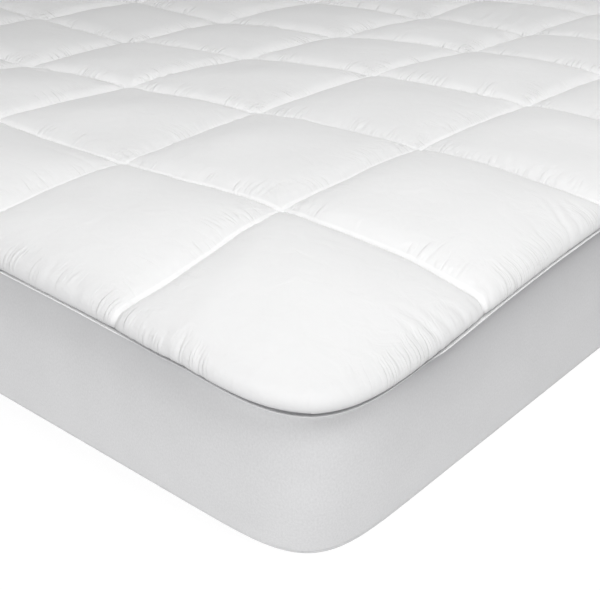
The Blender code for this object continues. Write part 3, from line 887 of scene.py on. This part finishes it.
def build_panel(quilt):
    """The quilted top as one closed piece: crowned upper face, plain lower face."""
    ax = Axis(HALF_X, quilt.first_line, quilt.pitch_x, LINES_X)
    ay = Axis(HALF_Y, quilt.first_line, quilt.pitch_y, LINES_Y)
    upper, lower, foot = panel_points(ax, ay, quilt)
    count_x, count_y = upper.shape[:2]
    points = [upper.reshape(-1, 3)]
    quads = [grid_quads(count_x, count_y)]
    uv = [np.stack(spread(ax, ay, "cloth"), -1).reshape(-1, 2)]
    feet = [foot.reshape(-1, 3)]

    # Lower face: nested rectangles over the shoulder, then one flat face.
    start = count_x * count_y
    i, j = border_walk(count_x, count_y, 0)
    previous = i * count_y + j
    for inset in UNDERSIDE_INSETS:
        i, j = border_walk(count_x, count_y, inset)
        points.append(lower[i, j])
        uv.append(np.stack([ax.cloth[i], ay.cloth[j]], 1))
        feet.append(foot[i, j])
        current = start + np.arange(len(i))
        sides = [previous, current, np.roll(current, -1), np.roll(previous, -1)]
        quads.append(np.stack(sides, 1))
        previous = current
        start += len(i)
    item = mesh_object(
        "quilted_panel", np.concatenate(points), np.concatenate(quads),
        extra_faces=[previous[::-1].tolist()], uv=np.concatenate(uv),
        vectors={"seam_foot": np.concatenate(feet)},
    )
    merge_close(item)
    return item


def merge_close(item):
    """Joins points at one place, which closes up the quads that have no area."""
    mesh = bmesh.new()
    mesh.from_mesh(item.data)
    bmesh.ops.remove_doubles(mesh, verts=mesh.verts, dist=1e-6)
    mesh.to_mesh(item.data)
    mesh.free()


# ---- skirt ---------------------------------------------------------------
def plan_ring(corner_rays, side_points):
    """Rays, centres, seam points and running length once round the plan, counter-clockwise."""
    degrees = np.linspace(-1.0, 1.0, corner_rays, endpoint=False)
    degrees = 45.0 + 45.0 * np.sign(degrees) * np.abs(degrees) ** 1.35
    fractions = np.linspace(0.0, 1.0, side_points, endpoint=False)
    quadrants = ((1, 1), (-1, 1), (-1, -1), (1, -1))
    inner = np.array([HALF_X - CORNER_ZONE, HALF_Y - CORNER_ZONE])
    rays, centres = [], []
    for index, (sx, sy) in enumerate(quadrants):
        from_x = sx * sy > 0
        angle = np.radians(degrees if from_x else 90.0 - degrees)
        rays.append(np.stack([sx * np.cos(angle), sy * np.sin(angle)], 1))
        centres.append(np.tile(inner * (sx, sy), (corner_rays, 1)))
        ray = (0.0, float(sy)) if from_x else (float(sx), 0.0)
        rays.append(np.tile(ray, (side_points, 1)))
        here, following = np.array((sx, sy)), np.array(quadrants[(index + 1) % 4])
        centres.append((here + (following - here) * fractions[:, None]) * inner)
    rays, centres = np.concatenate(rays), np.concatenate(centres)
    scale = arc_scale(rays[:, 0], rays[:, 1], CORNER_POWER_TOP) * CORNER_ZONE
    plan = centres + rays * scale[:, None]
    return rays, centres, plan, running_length(plan)


def running_length(points):
    """Length along a row of points, from its first."""
    steps = np.linalg.norm(np.diff(points, axis=0), axis=1)
    return np.concatenate([[0.0], np.cumsum(steps)])


def turned_edge(is_long, away, run):
    """Height and reach of the turned edge: small at a corner, larger on the long sides.

    Slow waves make its height uneven.
    """
    height, reach = (
        corner + (short + (long - short) * is_long - corner) * away
        for corner, short, long in zip(LIP_CORNER, LIP_SHORT_SIDE, LIP_LONG_SIDE)
    )
    return height * (1.0 + 0.10 * sway(run, 0.37) + 0.07 * sway(run, 0.113)), reach


def skirt_thread_colour_and_painted_light(samples, keep, below_lip, share, is_long, away):
    """Shares of the turned edge's whiter colour (white thread and painted highlight), of painted
    shade under the lip, and of painted shade inside the seam, mostly at the corners; each 0 to 1.
    """
    turned = smooth(2.0 * (samples - 1.0)) * (1.0 - smooth(samples - (LIP_ROWS - 1)))
    turned = np.concatenate([turned, np.zeros(len(keep))])
    strength = (0.70 + 0.30 * is_long) * (1.0 - 0.6 * smooth((share - 0.6) / 0.3))
    fade = SHADE_DEPTH * (1.0 + 0.4 * is_long)
    groove_shade = 1.0 - smooth(1.25 * (samples - 1.2))
    groove_shade = np.concatenate([groove_shade, np.ones(len(keep))])
    return np.stack([
        np.outer(turned, 0.35 + 0.65 * away),
        strength * np.exp(-np.clip(below_lip, 0.0, None) / fade),
        np.outer(groove_shade, smooth(1.6 * share - 0.3)),
    ], -1).reshape(-1, 3)


def build_skirt():
    """The skirt as one sheet of even thickness, swept round the plan.

    The section is a smooth curve through its table, worked out for every ring point
    at once, since its heights follow the seam. Slow waves lift the face a little.
    Also gives the ring's length and the sheet's width.
    """
    rays, centres, plan, run = plan_ring(RING_CORNER_RAYS, RING_SIDE_POINTS)
    seam_z, share = seam_height(plan[:, 0], plan[:, 1])
    # How far a point is on a long side, and how far away from a corner, each 0 to 1.
    facing_y = np.abs(rays[:, 1]) / np.abs(rays).sum(1)
    is_long = smooth(2.0 * facing_y - 0.8)
    away = 1.0 - smooth((share - 0.38 - 0.17 * is_long) / 0.10)
    lip, lip_reach = turned_edge(is_long, away, run)
    recess = RECESS[0] + (RECESS[1] - RECESS[0]) * smooth(1.4 * share)
    outs, lip_shares = np.array([row[:2] for row in SKIRT_SECTION]).T
    heights = np.stack([
        {"below": seam_z - value, "share": seam_z * value, "above": value + 0.0 * seam_z}[kind]
        - lips * lip - recesses * recess
        for _out, _share, kind, value, lips, recesses in SKIRT_SECTION
    ])
    knots = np.arange(len(SKIRT_SECTION), dtype=float)
    samples = np.concatenate(
        [k + np.arange(n) / n for k, n in enumerate(SECTION_STEPS)] + [[knots[-1]]]
    )
    weights = cubic_weights(samples, knots)
    out = (weights @ outs)[:, None] + (weights @ lip_shares)[:, None] * lip_reach
    height = np.maximum(weights @ heights, 0.0)
    on_face = smooth((height - 0.01) / 0.03) * smooth((seam_z - height - 0.012) / 0.05)
    waves = 0.9 * sway(run, 0.41, 0.4) + 0.7 * sway(run, 0.187, 2.1) + 0.5 * sway(run, 0.63, 4.0)
    out = out + FACE_WAVES * waves * on_face
    down = np.clip(1.0 - height / seam_z, 0.0, 1.0)
    power = CORNER_POWER_TOP + (CORNER_POWER_BASE - CORNER_POWER_TOP) * down
    scale = arc_scale(rays[None, :, 0], rays[None, :, 1], power) * (CORNER_ZONE + out)
    outer = np.concatenate([centres + rays * scale[..., None], height[..., None]], -1)

    # The inner side follows the outer one at the cloth's thickness, with fewer rows.
    along = np.roll(outer, -1, 1) - np.roll(outer, 1, 1)
    normal = np.cross(along, -np.gradient(outer, axis=0))
    normal /= np.linalg.norm(normal, axis=-1, keepdims=True)
    inner = outer - normal * (CLOTH_THICKNESS * 0.9)
    inner[..., 2] = np.maximum(inner[..., 2], 0.0)
    keep = np.arange(len(samples) - 1, -1, -3)
    keep = keep if keep[-1] == 0 else np.append(keep, 0)
    rings = np.concatenate([outer, inner[keep]])
    rows, size = rings.shape[:2]
    below = running_length(outer[:, MID_SIDE])
    uv = np.stack([np.tile(run, rows), np.repeat(np.concatenate([below, below[keep]]), size)], 1)
    # Depth under the lip, over which the painted shade under it fades.
    below_lip = seam_z - recess - lip - rings[..., 2]
    # Each quad starts at its lower point, which sets its diagonal.
    quads = np.roll(grid_quads(rows, size, closed=True), -1, 1)
    # The turned_edge attribute holds the shares of the whiter edge (white thread and painted
    # highlight), of the painted shade under the lip and of the painted shade inside the seam.
    item = mesh_object(
        "knit_skirt", rings.reshape(-1, 3), quads, uv=uv,
        vectors={"turned_edge": skirt_thread_colour_and_painted_light(samples, keep, below_lip, share, is_long, away)},
    )
    return item, run[-1] + np.linalg.norm(plan[0] - plan[-1]), below[-1]


# ---- materials -----------------------------------------------------------
def fold_lines(add, place, swell, factors):
    """Height of fine creases: dips along the level lines of noise, and soft swells between.

    place is where the noise is read, already stretched along the creases; the factors
    say where the creases are and how deep.
    """
    noise = add("TexNoise", {"Vector": place, "Scale": 1.0, "Detail": 1.0, "Roughness": 0.4})
    centred = add("Math", [noise, 0.5], operation="SUBTRACT")
    away = add("Math", [centred], operation="ABSOLUTE")
    dip = add("MapRange", [away, 0.0, 0.13, -1.0, 0.0], **EASED)
    height = add("Math", [centred, swell, dip], operation="MULTIPLY_ADD")
    for factor in factors:
        height = add("Math", [height, factor], operation="MULTIPLY")
    return height


def band(add, value, rising, falling):
    """1 between two eased edges, each given by where it starts and ends, and 0 outside them."""
    up, down = (
        add("MapRange", [value, low, high], **EASED)
        for low, high in (rising, falling[::-1])
    )
    return add("Math", [up, down], operation="MULTIPLY")


def patches(add, place, size, low, high):
    """Soft patches, 0 to 1, of about the given size."""
    noise = add("TexNoise", {"Vector": place, "Scale": 1.0 / size, "Detail": 0.0})
    return add("MapRange", [noise, low, high], **EASED)


def finish_cloth(add, colour, bump, roughness, specular, sheen, sheen_roughness):
    """Shader and output of a cloth, with the refraction index of textile fibres."""
    shader = add("BsdfPrincipled", {
        "Base Color": colour, "Normal": bump, "Roughness": roughness, "IOR": 1.45,
        "Specular IOR Level": specular, "Sheen Weight": sheen,
        "Sheen Roughness": sheen_roughness,
    })
    add("OutputMaterial", {"Surface": shader})


def percale_creases(add, uv, foot, to_seam, aside, number, distances, inward):
    """Height of all creases and lumps of the panel that are too fine for its mesh."""
    off_seam = add("MapRange", [to_seam, 0.015, 0.060], **EASED)

    # Combs: upright creases in patches beside each line, deeper in the far rows.
    split = add("SeparateXYZ", [uv])
    heights = []
    for axis, other in ((0, 1), (1, 0)):
        near = band(add, distances[axis], (0.002, 0.008), (0.012, 0.060))
        some = patches(add, uv, 0.055, 0.44, 0.60)
        place = add("CombineXYZ", [split.outputs[other], aside[axis], number[axis]])
        place = add("Mapping", {"Vector": place, "Scale": COMB_SCALE})
        heights.append(fold_lines(add, place, 1.6, (near, some, off_seam, inward)))

    # Fans: angle round the crossing, distance from it, and the crossing's own number.
    angle = add("Math", [aside[1], aside[0]], operation="ARCTAN2")
    place = add("CombineXYZ", [aside[0], aside[1]])
    radius = add("VectorMath", [place], operation="LENGTH")
    which = add("Math", [number[0], 3.7, number[1]], operation="MULTIPLY_ADD")
    place = add("CombineXYZ", [angle, radius, which])
    place = add("Mapping", {"Vector": place, "Scale": FAN_SCALE})
    near = band(add, radius, (0.010, 0.028), (0.035, 0.130))
    some = patches(add, uv, 0.045, 0.40, 0.62)
    heights.append(fold_lines(add, place, 1.0, (near, off_seam, some, 0.45)))

    # Gathers along the seam, read at the seam point so that they run straight up from it.
    place = add("Mapping", {"Vector": foot, "Scale": SEAM_SCALE})
    near = band(add, to_seam, (0.000, 0.002), (0.010, 0.038))
    some = patches(add, foot, 0.050, 0.40, 0.62)
    heights.append(fold_lines(add, place, 3.0, (near, some, 0.8)))

    # The fibre fill makes soft lumps under the cloth.
    lumps = add("TexNoise", {
        "Vector": uv, "Scale": 1 / FILL_LUMP, "Detail": 3.0, "Roughness": 0.55, "Distortion": 0.4,
    }, noise_dimensions="2D")
    heights.append(add("Math", [lumps, 2.2], operation="MULTIPLY"))

    total = heights[0]
    for height in heights[1:]:
        total = add("Math", [total, height], operation="ADD")
    return total


def percale_material(cloth, quilt):
    """Bleached cotton percale over fibre fill: matt, very white, a fine even weave.

    To the eye it is a soft white with a little bloom at grazing angles. Creases
    too fine for the mesh are bump: a comb along each stitch line, a fan round each
    crossing, and short gathers along the seam.
    """
    material, add = new_material("bleached_cotton_percale")
    uv = add("UVMap", uv_map="cloth")
    split = add("SeparateXYZ", [uv])
    foot = add("Attribute", attribute_name="seam_foot").outputs["Vector"]
    to_seam = add("SeparateXYZ", [foot]).outputs[2]

    # Signed distance from the nearest line of each family, and which line it is.
    aside, number, distances = [], [], []
    for axis, pitch in enumerate((quilt.pitch_x, quilt.pitch_y)):
        place = split.outputs[axis]
        aside.append(add("Math", [place, pitch / 2, -pitch / 2], operation="WRAP"))
        number.append(add("Math", [place, pitch], operation="SNAP"))
        distances.append(add("Math", [aside[axis]], operation="ABSOLUTE"))
    # The rows farther from the near corner are creased harder, and their mesh is coarser.
    inward = add("Math", [split.outputs[0], split.outputs[1]], operation="ADD")
    inward = add("MapRange", [inward, 0.45, 1.40, 1.0, 2.1])

    creases = percale_creases(add, uv, foot, to_seam, aside, number, distances, inward)
    bump = add("Bump", {"Height": creases, "Strength": 1.0, "Distance": 0.0007})
    # The weave is about 0.25 mm; drawn as grain of 1.5 mm so that it just shows.
    weave = add(
        "TexNoise", {"Vector": uv, "Scale": 1 / 0.0015, "Detail": 1.0}, noise_dimensions="2D",
    )
    bump = add("Bump", {"Height": weave, "Normal": bump, "Strength": 0.15, "Distance": 0.0004})

    # Painted highlight: beside the stitches the colour is whiter, standing in for light on the
    # flanks of the boxes, and it reaches farther in the far rows; bunched is its share.
    nearest = add("Math", [distances[0], distances[1]], operation="MINIMUM")
    reach = add("Math", [inward, 0.040, -0.034], operation="MULTIPLY_ADD")
    bunched = add("MapRange", [nearest, reach, 0.004], **EASED)
    colour = add("Mix", {
        "Factor": bunched, "A": linear(cloth.panel_hex), "B": linear(cloth.stitch_highlight_hex),
    }, data_type="RGBA")
    # Painted shade: the colour greys strongly right at the seam, and faintly over the side of the
    # panel, most round the near corner and the short side.
    shades = []
    for fade in (0.0042, 0.022):
        fading = add("Math", [to_seam, -1 / fade], operation="MULTIPLY")
        shades.append(add("Math", [fading], operation="EXPONENT"))
    close, wide = shades
    side = add("MapRange", [split.outputs[0], -0.10, 0.08, 0.20, 0.0], **EASED)
    shade = add("Math", [wide, side, close], operation="MULTIPLY_ADD")
    colour = add(
        "Mix", {"Factor": shade, "A": colour, "B": linear(cloth.seam_shade_hex)}, data_type="RGBA",
    )
    finish_cloth(add, colour, bump, 0.85, 0.25, 0.12, 0.5)
    return material


def knit_material(cloth):
    """Polyester stretch jersey: smooth and matt, with fine upright wales.

    To the eye it is an even pale grey with a faint grain. The turned edge under the
    seam is whiter: close overlock stitches in white thread that show as fine ribs, and
    also a painted highlight where the lip catches the light. Right under it the knit is
    greyer, which is painted shade under the seam, and inside the seam it is grey as
    well, also painted shade.
    """
    material, add = new_material("polyester_stretch_jersey")
    uv = add("UVMap", uv_map="cloth")
    # Wales are about 0.9 mm apart; drawn at 2 mm so that the grain shows.
    place = add("Mapping", {"Vector": uv, "Scale": (1 / 0.002, 1 / 0.0035, 1.0)})
    grain = add(
        "TexNoise", {"Vector": place, "Scale": 1.0, "Detail": 2.0, "Roughness": 0.6},
        noise_dimensions="2D",
    )
    # Handling leaves faint darker and lighter places a hand's breadth apart.
    handled = add(
        "TexNoise", {"Vector": uv, "Scale": 1 / 0.075, "Detail": 2.0}, noise_dimensions="2D",
    )
    tone = add("Math", [handled, 0.35, grain], operation="MULTIPLY_ADD")
    tone = add("MapRange", [tone, 0.0, 1.35, 0.86, 1.12])
    colour = add(
        "Mix", {"Factor": 1.0, "A": linear(cloth.skirt_hex), "B": tone},
        data_type="RGBA", blend_type="MULTIPLY",
    )
    # The colour carries painted light: painted shade under the lip, the whiter turned edge (white
    # thread and painted highlight), and painted shade inside the seam.
    tints = add("Attribute", attribute_name="turned_edge").outputs["Vector"]
    tints = add("SeparateXYZ", [tints]).outputs
    for tint, hex_value in ((1, cloth.shade_hex), (0, cloth.edge_hex), (2, cloth.groove_shade_hex)):
        colour = add(
            "Mix", {"Factor": tints[tint], "A": colour, "B": linear(hex_value)}, data_type="RGBA",
        )
    bump = add("Bump", {"Height": grain, "Strength": 0.25, "Distance": 0.0003})
    along = add("SeparateXYZ", [uv]).outputs[0]
    stitch = add("Math", [along, OVERLOCK_HALF_PITCH], operation="PINGPONG")
    stitch = add("Math", [stitch, tints[0]], operation="MULTIPLY")
    bump = add("Bump", {"Height": stitch, "Normal": bump, "Strength": 0.6, "Distance": 0.6})
    finish_cloth(add, colour, bump, 0.88, 0.2, 0.10, 0.6)
    return material


def ticking_material(hex_value):
    """Knitted mattress ticking: plain cream, matt, with a faint pile of loops."""
    material, add = new_material("knitted_mattress_ticking")
    place = add("TexCoord").outputs["Object"]
    loops = add("TexNoise", {"Vector": place, "Scale": LOOPS_PER_METRE, "Detail": 2.0})
    bump = add("Bump", {"Height": loops, "Strength": 0.3, "Distance": 0.0006})
    tone = add("MapRange", [loops, 0.0, 1.0, 0.95, 1.04])
    colour = add(
        "Mix", {"Factor": 1.0, "A": linear(hex_value), "B": tone},
        data_type="RGBA", blend_type="MULTIPLY",
    )
    finish_cloth(add, colour, bump, 0.9, 0.2, 0.0, 0.5)
    return material


def floor_material(glow, reach):
    """White seamless paper, over-exposed as in a high-key studio.

    It glows evenly as far as the picture shows it, and fades to a plain pale floor
    farther out.
    """
    material, add = new_material("white_studio_paper")
    place = add("TexCoord").outputs["Object"]
    outside = add("VectorMath", [place], operation="ABSOLUTE")
    outside = add("VectorMath", [outside, (HALF_X, HALF_Y, 0.0)], operation="SUBTRACT")
    outside = add("VectorMath", [outside, (0.0, 0.0, 0.0)], operation="MAXIMUM")
    farther = add("VectorMath", [outside], operation="LENGTH")
    fade = [farther, reach, reach + GLOW_FADE, glow, FAR_GLOW * glow]
    fade = add("MapRange", fade, **EASED)
    shader = add("BsdfPrincipled", {
        "Base Color": linear("9A9A9A"), "Roughness": 1.0, "Specular IOR Level": 0.0,
        "Emission Color": (1.0, 1.0, 1.0, 1.0), "Emission Strength": fade,
    })
    add("OutputMaterial", {"Surface": shader})
    return material


# ---- operators -----------------------------------------------------------
class TOPPER_OT_quilted_top(bpy.types.Operator):
    """Builds the quilted top in place of its plain solid."""

    bl_idname = "topper.quilted_top"
    bl_label = "Build Quilted Top"

    def execute(self, context):
        quilt = context.scene.topper_quilt
        item = build_panel(quilt)
        item.data.materials.append(percale_material(context.scene.topper_cloth, quilt))
        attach(item, "root")
        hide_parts("quilted_top")
        return {"FINISHED"}


class TOPPER_OT_skirt(bpy.types.Operator):
    """Builds the stretch-knit skirt in place of its plain solid."""

    bl_idname = "topper.skirt"
    bl_label = "Build Skirt"

    def execute(self, context):
        item, length, width = build_skirt()
        item.data.materials.append(knit_material(context.scene.topper_cloth))
        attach(item, "root")
        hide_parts("skirt")
        return {"FINISHED"}


class TOPPER_OT_mattress(bpy.types.Operator):
    """Covers the mattress in its ticking."""

    bl_idname = "topper.mattress"
    bl_label = "Cover Mattress"

    def execute(self, context):
        material = ticking_material(context.scene.topper_cloth.mattress_hex)
        for slot in bpy.data.objects["mattress"].material_slots:
            slot.material = material
        return {"FINISHED"}


class TOPPER_OT_stage(bpy.types.Operator):
    """Makes the floor, the lights and the camera."""

    bl_idname = "topper.stage"
    bl_label = "Build Stage"

    def execute(self, context):
        stage = context.scene.topper_stage
        sides = ((-1, -1), (1, -1), (1, 1), (-1, 1))
        corners = np.array([(FLOOR_HALF * x, FLOOR_HALF * y, -FLOOR_DROP) for x, y in sides])
        floor = mesh_object("studio_floor", corners, np.array([[0, 1, 2, 3]]))
        floor.data.materials.append(floor_material(stage.floor_glow, stage.glow_reach))

        world = bpy.data.worlds.new("studio_white")
        world.use_nodes = True
        background = world.node_tree.nodes["Background"]
        background.inputs["Color"].default_value = (1.0, 1.0, 1.0, 1.0)
        background.inputs["Strength"].default_value = stage.sky
        context.scene.world = world

        for name, place, power in SOFTBOXES:
            add_softbox(name, place, power * stage.light_power)
        context.scene.camera = add_camera(stage)
        context.scene.view_settings.view_transform = "Standard"
        return {"FINISHED"}


def add_softbox(name, place, power):
    """A square area light that faces the softboxes' target."""
    data = bpy.data.lights.new(name, "AREA")
    data.shape = "SQUARE"
    data.size = SOFTBOX_SIDE
    data.energy = power
    item = bpy.data.objects.new(name, data)
    item.location = place
    facing = Vector(SOFTBOX_TARGET) - Vector(place)
    item.rotation_euler = facing.to_track_quat("-Z", "Y").to_euler()
    bpy.context.scene.collection.objects.link(item)


def add_camera(stage):
    """The camera at its place, turned by its heading and by how far it looks down."""
    data = bpy.data.cameras.new("photo_camera")
    data.sensor_width = 36.0
    data.lens = stage.lens
    data.clip_start = 0.01
    camera = bpy.data.objects.new("photo_camera", data)
    heading, down = stage.heading, stage.down
    look = Vector((
        math.cos(heading) * math.cos(down), math.sin(heading) * math.cos(down), -math.sin(down),
    ))
    right = Vector((math.sin(heading), -math.cos(heading), 0.0))
    turn = Matrix((right, right.cross(look), -look)).transposed().to_4x4()
    turn.translation = Vector(CAMERA_PLACE)
    camera.matrix_world = turn
    bpy.context.scene.collection.objects.link(camera)
    return camera


class TOPPER_PT_panel(bpy.types.Panel):
    """Lists the pieces in the 3D view's sidebar."""

    bl_label = "Quilted Topper"
    bl_idname = "TOPPER_PT_panel"
    bl_space_type = "VIEW_3D"
    bl_region_type = "UI"
    bl_category = "Topper"

    def draw(self, context):
        scene = context.scene
        for title, group, operators in (
            ("Quilting", scene.topper_quilt, ("topper.quilted_top",)),
            ("Cloth", scene.topper_cloth, ("topper.skirt", "topper.mattress")),
            ("Stage", scene.topper_stage, ("topper.stage",)),
        ):
            box = self.layout.box()
            box.label(text=title)
            for key in group.__annotations__:
                box.prop(group, key)
            for name in operators:
                box.operator(name)


SETTINGS = {
    "topper_quilt": TopperQuiltSettings,
    "topper_cloth": TopperClothSettings,
    "topper_stage": TopperStageSettings,
}
CLASSES = (
    *SETTINGS.values(), TOPPER_OT_quilted_top, TOPPER_OT_skirt, TOPPER_OT_mattress,
    TOPPER_OT_stage, TOPPER_PT_panel,
)


def register():
    for item in CLASSES:
        bpy.utils.register_class(item)
    for key, group in SETTINGS.items():
        setattr(bpy.types.Scene, key, PointerProperty(type=group))


def unregister():
    for key in SETTINGS:
        delattr(bpy.types.Scene, key)
    for item in reversed(CLASSES):
        bpy.utils.unregister_class(item)


def main():
    register()
    bpy.ops.topper.quilted_top()
    bpy.ops.topper.skirt()
    bpy.ops.topper.mattress()
    bpy.ops.topper.stage()


if __name__ == "__main__":
    main()
